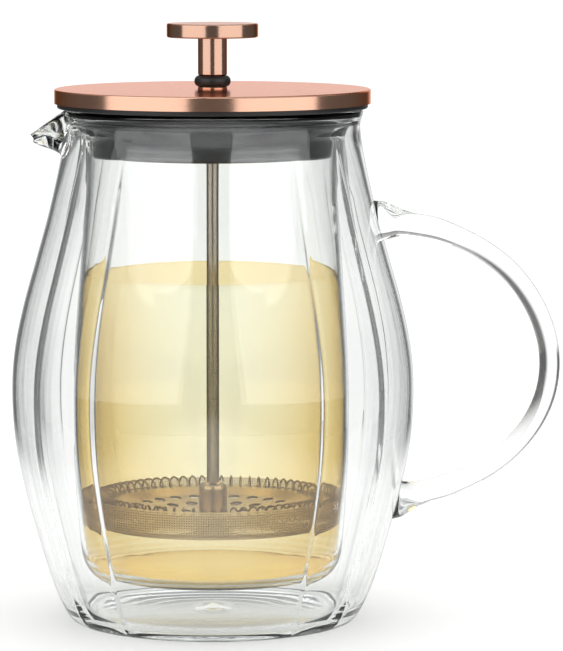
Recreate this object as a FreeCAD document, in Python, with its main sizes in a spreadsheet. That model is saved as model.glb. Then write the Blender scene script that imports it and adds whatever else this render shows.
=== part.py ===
"""Double-walled glass french press with a rose-gold lid, T-shaped knob and coil-edged filter.

The frame: +Z is up, the origin is on the table under the centre of the jug, +X points at the
handle and -X at the pouring spout. Sizes are in millimetres. The plunger is pressed down.
"""
import FreeCAD, Part
import math
import os
import re
import Sketcher
from FreeCAD import Placement, Vector

DIMENSIONS = {
    # the glass jug
    "belly_radius": 63.75,
    "belly_height": 74.5,
    "foot_radius": 46.2,
    "neck_radius": 46.6,
    "neck_height": 160.3,
    "glass_wall": 2.3,
    "base_thickness": 3.0,
    "base_hollow_inner": 9.0,
    "base_hollow_outer": 35.0,
    "base_hollow_depth": 0.8,
    "crease_rise": 1.02,
    "vent_radius": 2.0,
    "vessel_radius": 39.6,
    "vessel_wall": 2.2,
    "vessel_floor": 17.0,
    "vessel_base": 14.6,
    "vessel_corner": 9.0,
    "vessel_flare_height": 151.5,
    "rim_height": 163.0,
    "rim_radius": 47.8,
    "rim_mouth": 43.2,
    "spout_reach": 56.5,
    "spout_lip_height": 150.5,
    "spout_width": 20.0,
    "handle_thickness": 7.0,
    "handle_loop_radius": 44.2,
    "handle_centre_height": 82.8,
    "handle_centre_reach": 62.6,
    "handle_root_radius": 5.6,
    "handle_root_length": 5.0,
    # the lid
    "lid_radius": 50.0,
    "lid_top": 169.1,
    "lid_edge": 164.6,
    "lid_sheet": 0.8,
    "plug_radius": 39.0,
    "plug_bottom": 148.0,
    "plug_wall": 2.2,
    "plug_plate": 2.0,
    "plug_boss_radius": 8.0,
    "plug_boss_bottom": 162.0,
    "plug_seal_radius": 40.5,
    "plug_seal_bottom": 157.9,
    "plug_seal_top": 161.3,
    "seal_bottom": 163.1,
    "seal_inner": 41.8,
    "seal_outer": 49.1,
    "bushing_radius": 4.0,
    "bushing_flange": 4.65,
    "bushing_lip": 0.6,
    "bushing_end": 157.4,
    "bushing_recess": 3.1,
    "bushing_recess_depth": 1.9,
    "nut_flats": 12.0,
    "nut_thickness": 3.0,
    "washer_thickness": 0.8,
    "slot_width": 3.0,
    "slot_height": 7.0,
    "grommet_radius": 5.75,
    # the plunger
    "rod_radius": 2.0,
    "rod_bottom": 28.5,
    "rod_top": 183.0,
    "rod_clearance": 0.08,
    "stem_radius": 4.6,
    "stem_bottom": 173.45,
    "knob_radius": 14.45,
    "knob_bottom": 185.3,
    "knob_top": 189.7,
    "knob_spigot": 3.0,
    "knob_spigot_length": 2.6,
    # the filter
    "hub_radius": 4.4,
    "hub_top": 44.6,
    "spiral_radius": 36.2,
    "spiral_sheet": 0.6,
    "coil_circle": 35.7,
    "coil_loop": 2.7,
    "coil_wire": 0.3,
    "coil_height": 38.3,
    "coil_loops": 72,
    "mesh_radius": 39.25,
    "mesh_sheet": 0.3,
    "mesh_floor": 32.1,
    "mesh_top": 40.3,
    "cross_radius": 36.6,
    "cross_sheet": 0.9,
    "boss_flats": 8.5,
    "boss_bottom": 27.4,
}
CREASE_MIDDLE = 45.0  # degrees from the handle's axis to the middle of a narrow corner panel
CREASE_HALF = 11.5  # half the width of a narrow corner panel, in degrees
# Height and mid-panel radius of the jug's outer wall, as shares of belly height and radius.
BARREL = (
    (0.0, 0.7247),
    (0.215, 0.822),
    (0.43, 0.899),
    (0.70, 0.971),
    (1.0, 1.0),
    (1.275, 0.966),
    (1.503, 0.897),
    (1.745, 0.809),
    (1.973, 0.752),
    (2.072, 0.735),
    (2.1517, 0.731),
)

doc = FreeCAD.newDocument("french_press")
sheet = doc.addObject("Spreadsheet::Sheet", "dims")
for row, (alias, value) in enumerate(DIMENSIONS.items(), start=1):
    sheet.set(f"A{row}", alias)
    sheet.set(f"B{row}", str(value))
    sheet.setAlias(f"B{row}", alias)
doc.recompute()

NODES = []


def bound(formula):
    """The formula with each alias written as the spreadsheet's cell."""
    return re.sub(r"\b([a-z]+_[a-z_]+)\b", r"dims.\1", formula)


def dim(formula):
    """The number that a formula of aliases gives."""
    return float(sheet.evalExpression(bound(formula)))


def keep(thing, label):
    """Gives a finished sub-part its name and counts it as a node."""
    thing.Label = label
    NODES.append(thing)
    return thing


def plane_of(body, role):
    return next(f for f in body.Origin.OriginFeatures if f.Role == role)


def outline(body, name, points, plane="XZ_Plane"):
    """A closed sketch of straight lines whose corners are bound to the spreadsheet.

    Each corner is a pair of formulas: its distance from the axis and its height.
    """
    sketch = body.newObject("Sketcher::SketchObject", name)
    sketch.AttachmentSupport = [(plane_of(body, plane), "")]
    sketch.MapMode = "FlatFace"
    places = [Vector(dim(x), dim(y), 0) for x, y in points]
    count = len(places)
    for i in range(count):
        sketch.addGeometry(Part.LineSegment(places[i], places[(i + 1) % count]), False)
    for i in range(count):
        sketch.addConstraint(coincident(i, (i + 1) % count))
    for i, (x, y) in enumerate(points):
        fix_corner(sketch, i, x, y)
    return sketch


def coincident(first, second):
    return Sketcher.Constraint("Coincident", first, 2, second, 1)


def fix_corner(sketch, line, x, y):
    """Ties the start of a line to its distance from each axis."""
    for kind, formula, axis in (("DistanceX", x, -2), ("DistanceY", y, -1)):
        value = dim(formula)
        if abs(value) < 1e-9:
            sketch.addConstraint(Sketcher.Constraint("PointOnObject", line, 1, axis))
            continue
        number = sketch.addConstraint(Sketcher.Constraint(kind, -1, 1, line, 1, value))
        sketch.setExpression(f"Constraints[{number}]", bound(formula))


def turned(name, points):
    """A body made on a lathe: the outline turned about the vertical axis."""
    body = doc.addObject("PartDesign::Body", name)
    sketch = outline(body, name + "_outline", points)
    turn = body.newObject("PartDesign::Revolution", name + "_turn")
    turn.Profile = sketch
    turn.ReferenceAxis = (sketch, ["V_Axis"])
    turn.Angle = 360
    sketch.Visibility = False
    doc.recompute()
    return body


def rounded(body, name, radius, *circles, chamfer=False):
    """Fillets, or chamfers, the circular edges that lie at the given radius and height."""
    base = body.Tip
    shape = base.Shape
    wanted = []
    for number, edge in enumerate(shape.Edges, start=1):
        if edge.Curve.TypeId != "Part::GeomCircle":
            continue
        for x, z in circles:
            near_radius = abs(edge.Curve.Radius - dim(x)) < 1e-4
            if near_radius and abs(edge.Curve.Center.z - dim(z)) < 1e-4:
                wanted.append(f"Edge{number}")
    if len(wanted) < len(circles):
        raise RuntimeError(f"{name} found {len(wanted)} of {len(circles)} edges")
    kind = "PartDesign::Chamfer" if chamfer else "PartDesign::Fillet"
    feature = body.newObject(kind, name)
    feature.Base = (base, wanted)
    if chamfer:
        feature.Size = radius
    else:
        feature.Radius = radius
    doc.recompute()
    return feature


def cylinder(name, radius, bottom, top, x="0", y="0"):
    """A Part cylinder between two heights, bound to the spreadsheet."""
    thing = doc.addObject("Part::Cylinder", name)
    thing.setExpression("Radius", bound(radius))
    thing.setExpression("Height", bound(f"({top}) - ({bottom})"))
    for axis, formula in (("x", x), ("y", y), ("z", bottom)):
        thing.setExpression(f"Placement.Base.{axis}", bound(formula))
    return thing


def cut(name, base, tool):
    thing = doc.addObject("Part::Cut", name)
    thing.Base = base
    thing.Tool = tool
    return thing


def fused(name, *shapes):
    thing = doc.addObject("Part::MultiFuse", name)
    thing.Shapes = list(shapes)
    return thing


def made(name, shape):
    """A sub-part whose shape comes from Part's own functions."""
    thing = doc.addObject("Part::Feature", name)
    thing.Shape = shape
    thing.Placement = Placement()
    return thing


def ring_of(count, radius, start=0.0):
    """Evenly spaced points on a circle, each with its angle in degrees."""
    for i in range(count):
        angle = start + 360.0 * i / count
        turn = math.radians(angle)
        yield angle, Vector(radius * math.cos(turn), radius * math.sin(turn), 0)


# ---- the glass jug ---------------------------------------------------------------------------


def polar(radius, degrees, height):
    turn = math.radians(degrees)
    return Vector(radius * math.cos(turn), radius * math.sin(turn), height)


def panel_wire(radius, height, rise):
    """One level of the outer wall: four broad curved panels between four narrow flat ones."""
    flat = rise * math.cos(math.radians(CREASE_HALF)) + 0.0015
    narrow = 1.0 if rise == 1.0 else flat
    edges = []
    for corner in range(4):
        middle = CREASE_MIDDLE + 90.0 * corner
        first = polar(radius * rise, middle - CREASE_HALF, height)
        second = polar(radius * rise, middle + CREASE_HALF, height)
        third = polar(radius * rise, middle + 90.0 - CREASE_HALF, height)
        edges.append(Part.Arc(first, polar(radius * narrow, middle, height), second))
        edges.append(Part.Arc(second, polar(radius, middle + 45.0, height), third))
    return Part.Wire([arc.toShape() for arc in edges])


def wall_radius(height):
    """Mid-panel radius of the outer wall at a height, read off the smooth barrel curve."""
    curve = Part.BSplineCurve()
    tall, wide = dim("belly_height"), dim("belly_radius")
    curve.interpolate([Vector(wide * r, 0, tall * z) for z, r in BARREL])
    low, high = curve.FirstParameter, curve.LastParameter
    for _ in range(50):
        middle = (low + high) / 2
        if curve.value(middle).z < height:
            low = middle
        else:
            high = middle
    return curve.value(low).x


def barrel_solid():
    tall, wide, rise = dim("belly_height"), dim("belly_radius"), dim("crease_rise")
    top = len(BARREL) - 1
    wires = []
    for number, (z, r) in enumerate(BARREL):
        level = 1.0 + (rise - 1.0) * min(1.0, (top - number) / 2.0)
        wires.append(panel_wire(wide * r, tall * z, level))
    return Part.makeLoft(wires, True, False)


def turned_solid(points, curved=()):
    """A solid turned from points; stretches named in curved are smooth curves."""
    edges = []
    number = 0
    while number < len(points):
        stretch = next((c for c in curved if c[0] == number), None)
        if stretch:
            curve = Part.BSplineCurve()
            curve.interpolate(points[stretch[0] : stretch[1] + 1])
            edges.append(curve.toShape())
            number = stretch[1]
        else:
            after = points[(number + 1) % len(points)]
            edges.append(Part.makeLine(points[number], after))
            number += 1
    face = Part.Face(Part.Wire(edges))
    return face.revolve(Vector(0, 0, 0), Vector(0, 0, 1), 360)


def outer_glass_wall():
    """The outer wall: a creased barrel with a rounded foot, hollow above a thick base."""
    wall, base, foot = dim("glass_wall"), dim("base_thickness"), dim("foot_radius")
    neck = dim("neck_height")
    foot_round = 4.5
    flat = foot - 2.6
    limit = [
        Vector(0, 0, -1),
        Vector(flat, 0, -1),
        Vector(flat, 0, 0),
        Vector(flat + 0.55 * foot_round, 0, 0.22 * foot_round),
        Vector(flat + foot_round + 0.9, 0, foot_round + 1.2),
        Vector(dim("belly_radius") * 1.2, 0, dim("belly_height") * 0.6),
        Vector(dim("belly_radius") * 1.2, 0, neck + 1),
        Vector(0, 0, neck + 1),
    ]
    body = barrel_solid().common(turned_solid(limit, curved=((2, 4),)))
    levels = (7, 16, 32, 52, 74.5, 95, 112, 130, 147)
    inside = [Vector(0, 0, base), Vector(foot - wall - 4.0, 0, base)]
    inside += [Vector(wall_radius(z) - wall, 0, z) for z in levels]
    inside += [Vector(wall_radius(neck) - wall, 0, neck + 0.5), Vector(0, 0, neck + 0.5)]
    body = body.cut(turned_solid(inside, curved=((2, 11),)))
    near, far = dim("base_hollow_inner"), dim("base_hollow_outer")
    depth = dim("base_hollow_depth")
    hollow = [(near, 0), (near + 3, depth), (far - 3, depth), (far, 0), (far, -1), (near, -1)]
    body = body.cut(turned_solid([Vector(x, 0, z) for x, z in hollow]))
    vent = Part.makeCylinder(dim("vent_radius"), 2 * base, Vector(0, 0, -base / 2))
    return body.cut(vent)


def vent_seal():
    """The bead of glass that closes the vent in the base."""
    radius, base = dim("vent_radius"), dim("base_thickness")
    stem = Part.makeCylinder(radius, base + 0.9)
    head = Part.makeSphere(radius * 1.6, Vector(0, 0, base - 0.6))
    head = head.common(Part.makeCylinder(radius * 2, radius * 2, Vector(0, 0, base)))
    return stem.fuse(head).removeSplitter()


def spout_channel(shrink):
    """The beak's outer shape, or with a shrink the channel inside it, along the way it pours."""
    lip, reach, half = dim("spout_lip_height"), dim("spout_reach"), dim("spout_width") / 2
    inner = dim("vessel_radius") - 2.0
    # distance from the axis, height of the middle, half width, half height
    stations = (
        (inner, dim("rim_height") - 3.4, 1.0, 9.6),
        (dim("neck_radius") - 1.0, dim("rim_height") - 4.6, 0.92, 9.4),
        (reach - 5.0, lip + 4.4, 0.64, 6.8),
        (reach - 0.6, lip + 1.3, 0.42, 3.9),
    )
    wires = []
    for x, z, wide, tall in stations:
        a, b = half * wide - shrink, tall - shrink
        long_axis, short_axis = (Vector(0, a, 0), Vector(0, 0, b)) if a > b else (
            Vector(0, 0, b),
            Vector(0, a, 0),
        )
        centre = Vector(-x, 0, z)
        ellipse = Part.Ellipse(centre + long_axis, centre + short_axis, centre)
        wires.append(Part.Wire(ellipse.toShape()))
    return Part.makeLoft(wires, True, False)


def above_lip():
    """Everything above the beak's drooping edge, which leaves the channel open."""
    lip, reach, rim = dim("spout_lip_height"), dim("spout_reach"), dim("rim_height")
    back, far = -dim("neck_radius"), -reach - 10
    side = [
        Vector(back + 12, 0, rim),
        Vector(back, 0, rim - 0.4),
        Vector(-reach + 4.4, 0, lip + 6.2),
        Vector(-reach + 0.2, 0, lip + 1.4),
        Vector(far, 0, lip - 1.0),
        Vector(far, 0, rim + 20),
        Vector(back + 12, 0, rim + 20),
    ]
    curve = Part.BSplineCurve()
    curve.interpolate(side[:5])
    edges = [curve.toShape()]
    edges += [Part.makeLine(side[i], side[(i + 1) % 7]) for i in range(4, 7)]
    face = Part.Face(Part.Wire(edges))
    face.translate(Vector(0, -30, 0))
    return face.extrude(Vector(0, 60, 0))


def pour_spout(wall, vessel):
    """A pulled beak of glass that carries on from the rim and droops to its lip."""
    beak = spout_channel(0.0).cut(spout_channel(2.0)).cut(above_lip())
    mouth = Part.makeCylinder(dim("neck_radius") - 0.2, 80, Vector(0, 0, 120))
    beak = beak.cut(mouth).cut(wall).cut(vessel)
    return max(beak.Solids, key=lambda solid: solid.Volume)


def handle_path():
    """Half a circle between two short level runs that end in the jug's wall."""
    radius, x = dim("handle_loop_radius"), dim("handle_centre_reach")
    z = dim("handle_centre_height")
    high, low = z + radius, z - radius
    start = Vector(wall_radius(high) - 1.5, 0, high)
    end = Vector(wall_radius(low) - 1.5, 0, low)
    top, side, bottom = Vector(x, 0, high), Vector(x + radius, 0, z), Vector(x, 0, low)
    edges = [Part.makeLine(start, top), Part.Arc(top, side, bottom).toShape()]
    edges.append(Part.makeLine(bottom, end))
    return Part.Wire(edges), start, end


def glass_handle(wall):
    """A solid glass rod bent into a loop, its roots flared where they melt into the wall."""
    path, start, end = handle_path()
    radius = dim("handle_thickness") / 2
    disc = Part.Wire(Part.makeCircle(radius, start, Vector(1, 0, 0)))
    rod = path.makePipeShell([disc], True, False)
    root, length = dim("handle_root_radius"), dim("handle_root_length")
    for place in (start, end):
        flare = Part.makeCone(root, radius, length, place, Vector(1, 0, 0))
        rod = rod.fuse(flare)
    rod = rod.removeSplitter().cut(solid_barrel_of(wall))
    return max(rod.Solids, key=lambda solid: solid.Volume)


def solid_barrel_of(wall):
    """The wall with its hollow filled, for trimming what is melted onto its outside."""
    return wall.fuse(barrel_solid().common(Part.makeCylinder(60, 140, Vector(0, 0, 8))))


def make_jug():
    rim, mouth, radius = dim("rim_height"), dim("rim_mouth"), dim("rim_radius")
    vessel = turned(
        "vessel_body",
        [
            ("0", "vessel_base"),
            ("vessel_radius + vessel_wall", "vessel_base"),
            ("vessel_radius + vessel_wall", "vessel_flare_height"),
            ("vessel_radius + 3.4", "neck_height - 4"),
            ("neck_radius - glass_wall", "neck_height"),
            ("neck_radius", "neck_height"),
            ("rim_radius", "rim_height - 1.2"),
            ("rim_radius - 1.2", "rim_height"),
            ("rim_mouth + 0.6", "rim_height"),
            ("rim_mouth - 0.4", "rim_height - 1.4"),
            ("vessel_radius + 1.9", "rim_height - 5"),
            ("vessel_radius", "vessel_flare_height + 1"),
            ("vessel_radius", "vessel_floor"),
            ("0", "vessel_floor"),
        ],
    )
    rounded(
        vessel,
        "vessel_corners",
        dim("vessel_corner"),
        ("vessel_radius + vessel_wall", "vessel_base"),
    )
    rounded(
        vessel,
        "vessel_inner_corner",
        dim("vessel_corner - vessel_wall"),
        ("vessel_radius", "vessel_floor"),
    )
    channel = made("pour_channel", spout_channel(2.0).fuse(above_lip_of_rim()))
    keep(cut("inner_glass_vessel_cut", vessel, channel), "inner_glass_vessel")
    doc.recompute()
    wall = outer_glass_wall()
    wall = wall.cut(spout_channel(0.0))
    wall = max(wall.Solids, key=lambda solid: solid.Volume)
    keep(made("outer_wall", wall), "outer_glass_wall")
    keep(made("vent_bead", vent_seal()), "vent_seal")
    vessel_shape = NODES[0].Shape
    keep(made("spout", pour_spout(wall, vessel_shape)), "pour_spout")
    keep(made("handle", glass_handle(wall)), "glass_handle")


def above_lip_of_rim():
    """The notch in the rim where the pouring channel crosses it."""
    half, rim = dim("spout_width") / 2 - 2.0, dim("rim_height")
    length = dim("rim_radius") - dim("vessel_radius") + 6
    corner = Vector(-dim("rim_radius") - 2, -half, rim - 3.4)
    return Part.makeBox(length, 2 * half, 10, corner)


# ---- the lid -------------------------------------------------------------------------------


def make_lid_cover():
    cover = turned(
        "cover_body",
        [
            ("bushing_radius", "lid_top - lid_sheet"),
            ("lid_radius - lid_sheet", "lid_top - lid_sheet"),
            ("lid_radius - lid_sheet", "lid_edge"),
            ("lid_radius", "lid_edge"),
            ("lid_radius", "lid_top"),
            ("bushing_radius", "lid_top"),
        ],
    )
    rounded(cover, "cover_edge", 0.5, ("lid_radius", "lid_top"))
    keep(cover, "lid_cover")


def make_lid_plug():
    plug = turned(
        "lid_plug_shell",
        [
            ("bushing_radius", "plug_boss_bottom"),
            ("plug_boss_radius", "plug_boss_bottom"),
            ("plug_boss_radius", "lid_top - lid_sheet - plug_plate"),
            ("plug_radius - plug_wall", "lid_top - lid_sheet - plug_plate"),
            ("plug_radius - plug_wall", "plug_bottom"),
            ("plug_radius - 0.5", "plug_bottom"),
            ("plug_radius", "plug_bottom + 0.5"),
            ("plug_radius", "plug_seal_bottom"),
            ("plug_radius - 0.8", "plug_seal_bottom"),
            ("plug_radius - 0.8", "plug_seal_top"),
            ("plug_radius", "plug_seal_top"),
            ("seal_inner - 0.4", "lid_edge"),
            ("lid_radius - lid_sheet - 0.1", "lid_edge"),
            ("lid_radius - lid_sheet - 0.1", "lid_top - lid_sheet"),
            ("bushing_radius", "lid_top - lid_sheet"),
        ],
    )
    rib_bottom = dim("plug_boss_bottom")
    rib_height = dim("lid_top - lid_sheet - plug_plate") - rib_bottom
    inner, outer = dim("plug_boss_radius") - 0.2, dim("plug_radius - plug_wall") + 0.2
    ribs = []
    for angle, _ in ring_of(6, inner, 30.0):
        rib = Part.makeBox(outer - inner, 1.6, rib_height, Vector(inner, -0.8, rib_bottom))
        rib.rotate(Vector(0, 0, 0), Vector(0, 0, 1), angle)
        ribs.append(rib)
    shell = fused("lid_plug_ribbed", plug, made("plug_ribs", Part.makeCompound(ribs)))
    slots = made("pour_slots", Part.makeCompound(list(pour_slots())))
    keep(cut("lid_plug_cut", shell, slots), "lid_plug")


def pour_slots():
    """Upright slots through the plug's skirt, on the side that faces the spout."""
    wide, tall = dim("slot_width"), dim("slot_height")
    outer, wall = dim("plug_radius"), dim("plug_wall")
    for number in range(-2, 3):
        low = Vector(outer - wall - 1, -wide / 2, dim("plug_bottom") + 2.0)
        slot = Part.makeBox(wall + 3, wide, tall, low)
        slot.rotate(Vector(0, 0, 0), Vector(0, 0, 1), 180 + 8.0 * number)
        yield slot


def make_seals():
    seal = turned(
        "lid_seal_ring",
        [
            ("seal_inner", "seal_bottom"),
            ("seal_outer - 0.3", "seal_bottom"),
            ("seal_outer", "seal_bottom + 0.3"),
            ("seal_outer", "lid_edge - 0.02"),
            ("seal_inner", "lid_edge - 0.02"),
        ],
    )
    keep(seal, "lid_seal_ring")
    band = turned(
        "plug_seal_band",
        [
            ("plug_radius - 0.8", "plug_seal_bottom"),
            ("plug_seal_radius - 0.7", "plug_seal_bottom"),
            ("plug_seal_radius", "plug_seal_bottom + 1.1"),
            ("plug_seal_radius", "plug_seal_top - 0.8"),
            ("plug_seal_radius - 0.7", "plug_seal_top"),
            ("plug_radius - 0.8", "plug_seal_top"),
        ],
    )
    keep(band, "plug_seal_band")


def make_bushing():
    bushing = turned(
        "lid_bushing",
        [
            ("rod_radius + rod_clearance + 0.02", "bushing_end"),
            ("bushing_radius - 0.4", "bushing_end"),
            ("bushing_radius", "bushing_end + 0.4"),
            ("bushing_radius", "lid_top"),
            ("bushing_flange", "lid_top"),
            ("bushing_flange", "lid_top + bushing_lip"),
            ("bushing_recess", "lid_top + bushing_lip"),
            ("bushing_recess", "lid_top + bushing_lip - bushing_recess_depth"),
            ("rod_radius + rod_clearance + 0.02", "lid_top + bushing_lip - bushing_recess_depth"),
        ],
    )
    rounded(bushing, "bushing_edge", 0.2, ("bushing_flange", "lid_top + bushing_lip"))
    keep(bushing, "lid_bushing")
    washer = turned(
        "bushing_washer",
        [
            ("bushing_radius + 0.1", "plug_boss_bottom - washer_thickness"),
            ("plug_boss_radius - 0.3", "plug_boss_bottom - washer_thickness"),
            ("plug_boss_radius - 0.3", "plug_boss_bottom"),
            ("bushing_radius + 0.1", "plug_boss_bottom"),
        ],
    )
    keep(washer, "bushing_washer")
    top = "plug_boss_bottom - washer_thickness"
    nut = hexagon("bushing_nut", "nut_flats", f"{top} - nut_thickness", top, "bushing_radius")
    keep(nut, "bushing_nut")


def hexagon(name, flats, bottom, top, bore):
    """A hexagon nut with its corners turned down, on the vertical axis."""
    radius = dim(flats) / math.sqrt(3)
    low, high = dim(bottom), dim(top)
    corners = [polar(radius, 60 * i, low) for i in range(7)]
    prism = Part.Face(Part.makePolygon(corners)).extrude(Vector(0, 0, high - low))
    turn_down = Part.makeCone(radius * 1.32, radius * 0.90, (high - low) * 1.0, Vector(0, 0, low))
    turn_up = Part.makeCone(radius * 0.90, radius * 1.32, (high - low) * 1.0, Vector(0, 0, low))
    shape = prism.common(turn_down).common(turn_up)
    blank = made(name + "_blank", shape)
    return cut(name, blank, cylinder(name + "_bore", bore, f"{bottom} - 1", f"{top} + 1"))


def make_grommet():
    grommet = turned(
        "rod_grommet",
        [
            ("rod_radius + rod_clearance", "lid_top + bushing_lip - bushing_recess_depth + 0.1"),
            ("bushing_recess - 0.1", "lid_top + bushing_lip - bushing_recess_depth + 0.1"),
            ("bushing_recess - 0.1", "lid_top + bushing_lip + 0.02"),
            ("grommet_radius", "lid_top + bushing_lip + 0.02"),
            ("grommet_radius", "stem_bottom - 0.1"),
            ("rod_radius + rod_clearance", "stem_bottom - 0.1"),
        ],
    )
    rounded(
        grommet,
        "grommet_round",
        1.7,
        ("grommet_radius", "lid_top + bushing_lip + 0.02"),
        ("grommet_radius", "stem_bottom - 0.1"),
    )
    keep(grommet, "rod_grommet")


# ---- the plunger ---------------------------------------------------------------------------


def make_knob():
    cap = turned(
        "knob_cap",
        [
            ("knob_spigot", "knob_bottom"),
            ("knob_radius", "knob_bottom"),
            ("knob_radius", "knob_top"),
            ("0", "knob_top"),
            ("0", "knob_bottom + knob_spigot_length"),
            ("knob_spigot", "knob_bottom + knob_spigot_length"),
        ],
    )
    edges = (("knob_radius", "knob_bottom"), ("knob_radius", "knob_top"))
    rounded(cap, "knob_edges", 0.45, *edges)
    keep(cap, "knob_cap")
    stem = turned(
        "knob_stem",
        [
            ("rod_radius", "stem_bottom"),
            ("stem_radius", "stem_bottom"),
            ("stem_radius", "knob_bottom"),
            ("knob_spigot", "knob_bottom"),
            ("knob_spigot", "knob_bottom + knob_spigot_length - 0.1"),
            ("0", "knob_bottom + knob_spigot_length - 0.1"),
            ("0", "rod_top"),
            ("rod_radius", "rod_top"),
        ],
    )
    rounded(stem, "stem_edge", 0.3, ("stem_radius", "stem_bottom"))
    keep(stem, "knob_stem")


def make_rod():
    rod = cylinder("plunger_rod", "rod_radius", "rod_bottom", "rod_top")
    keep(rod, "plunger_rod")


# ---- the filter ----------------------------------------------------------------------------


def make_hub():
    hub = turned(
        "hub_nut",
        [
            ("rod_radius", "mesh_floor + mesh_sheet + spiral_sheet"),
            ("hub_radius + 0.8", "mesh_floor + mesh_sheet + spiral_sheet"),
            ("hub_radius + 0.8", "mesh_floor + mesh_sheet + spiral_sheet + 1.2"),
            ("hub_radius", "mesh_floor + mesh_sheet + spiral_sheet + 1.8"),
            ("hub_radius", "hub_top"),
            ("rod_radius", "hub_top"),
        ],
    )
    rounded(hub, "hub_dome", 2.2, ("hub_radius", "hub_top"))
    keep(hub, "hub_nut")


def make_spiral_plate():
    """The dished top plate. The coil threads through the notches round its rim."""
    plate = turned(
        "spiral_plate_blank",
        [
            ("rod_radius", "mesh_floor + mesh_sheet"),
            ("9.0", "mesh_floor + mesh_sheet"),
            ("27.0", "mesh_floor + mesh_sheet + 3.6"),
            ("30.6", "coil_height - spiral_sheet / 2"),
            ("spiral_radius", "coil_height - spiral_sheet / 2"),
            ("spiral_radius", "coil_height + spiral_sheet / 2"),
            ("30.2", "coil_height + spiral_sheet / 2"),
            ("26.7", "mesh_floor + mesh_sheet + spiral_sheet + 3.6"),
            ("9.0", "mesh_floor + mesh_sheet + spiral_sheet"),
            ("rod_radius", "mesh_floor + mesh_sheet + spiral_sheet"),
        ],
    )
    tools = []
    for count, radius, hole in ((8, 12.5, 1.6), (16, 18.5, 1.9), (24, 24.5, 1.8)):
        for _, place in ring_of(count, radius):
            place.z = dim("mesh_floor") - 2
            tools.append(Part.makeCylinder(hole, 20, place))
    inner = dim("coil_circle - coil_loop") - 0.55
    for angle, _ in ring_of(int(dim("coil_loops")), inner):
        low = Vector(inner, -0.7, dim("coil_height") - 1)
        notch = Part.makeBox(5, 1.4, 2, low)
        notch.rotate(Vector(0, 0, 0), Vector(0, 0, 1), angle)
        tools.append(notch)
    holes = made("spiral_holes", Part.makeCompound(tools))
    keep(cut("spiral_plate_cut", plate, holes), "spiral_plate")


def make_coil():
    """The coil spring that wipes the glass, wound round the rim of the spiral plate.

    Each turn is two half circles: one climbs over the rim and the next comes back under it.
    Its two ends stop half a turn apart.
    """
    loops, circle, loop = int(dim("coil_loops")), dim("coil_circle"), dim("coil_loop")
    wire, height = dim("coil_wire"), dim("coil_height")
    step = 360.0 / loops
    arcs = []
    for number in range(loops):
        inner = polar(circle - loop, number * step, height)
        outer = polar(circle + loop, (number + 0.5) * step, height)
        after = polar(circle - loop, (number + 1) * step, height)
        for start, end, side in ((inner, outer, 1), (outer, after, -1)):
            middle = (start + end) * 0.5
            middle.z += side * (end - start).Length / 2
            arcs.append(Part.Arc(start, middle, end).toShape())
    section = Part.Wire(Part.makeCircle(wire, polar(circle - loop, 0, height), Vector(0, 0, 1)))
    return Part.Wire(arcs[:-1]).makePipeShell([section], True, False)


def make_mesh_screen():
    screen = turned(
        "mesh_screen",
        [
            ("rod_radius", "mesh_floor"),
            ("mesh_radius", "mesh_floor"),
            ("mesh_radius", "mesh_top"),
            ("mesh_radius - mesh_sheet", "mesh_top"),
            ("mesh_radius - mesh_sheet", "mesh_floor + mesh_sheet"),
            ("rod_radius", "mesh_floor + mesh_sheet"),
        ],
    )
    rounded(screen, "mesh_fold", 0.9, ("mesh_radius", "mesh_floor"))
    keep(screen, "mesh_screen")


def make_cross_plate():
    plate = turned(
        "cross_plate_blank",
        [
            ("rod_radius", "mesh_floor - cross_sheet"),
            ("cross_radius", "mesh_floor - cross_sheet"),
            ("cross_radius", "mesh_floor"),
            ("rod_radius", "mesh_floor"),
        ],
    )
    tools = []
    for count, radius, hole in ((6, 11.0, 3.2), (6, 25.5, 7.6), (6, 29.5, 2.6)):
        start = 30.0 if hole < 3 else 0.0
        for _, place in ring_of(count, radius, start):
            place.z = dim("mesh_floor") - 3
            tools.append(Part.makeCylinder(hole, 6, place))
    holes = made("cross_holes", Part.makeCompound(tools))
    keep(cut("cross_plate_cut", plate, holes), "cross_plate")
    top = "mesh_floor - cross_sheet"
    boss = hexagon("filter_nut", "boss_flats", "boss_bottom", top, "rod_radius")
    keep(boss, "filter_nut")


def check_and_write():
    doc.recompute()
    for thing in doc.Objects:
        if "Invalid" in thing.State or "Error" in thing.State:
            raise RuntimeError(f"{thing.Name} failed: {thing.State}")
    os.makedirs("parts", exist_ok=True)
    for node in NODES:
        shape = node.Shape
        if shape.isNull() or not shape.isValid():
            raise RuntimeError(f"{node.Label} has no valid shape")
        shape.exportStep(f"parts/{node.Label}.step")
        box = shape.BoundBox
        print(f"{node.Label:20s} solids {len(shape.Solids)} faces {len(shape.Faces):4d} "
              f"volume {shape.Volume:10.1f} z {box.ZMin:7.2f} to {box.ZMax:7.2f}")


make_jug()
make_lid_cover()
make_lid_plug()
make_seals()
make_bushing()
make_grommet()
make_knob()
make_rod()
make_hub()
make_spiral_plate()
make_mesh_screen()
make_cross_plate()
keep(made("coil", make_coil()), "coil_spring")
check_and_write()
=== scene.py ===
"""Looks for the glass french press: one fused glass jug, plated metal, silicone and woven mesh."""

import math

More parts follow.
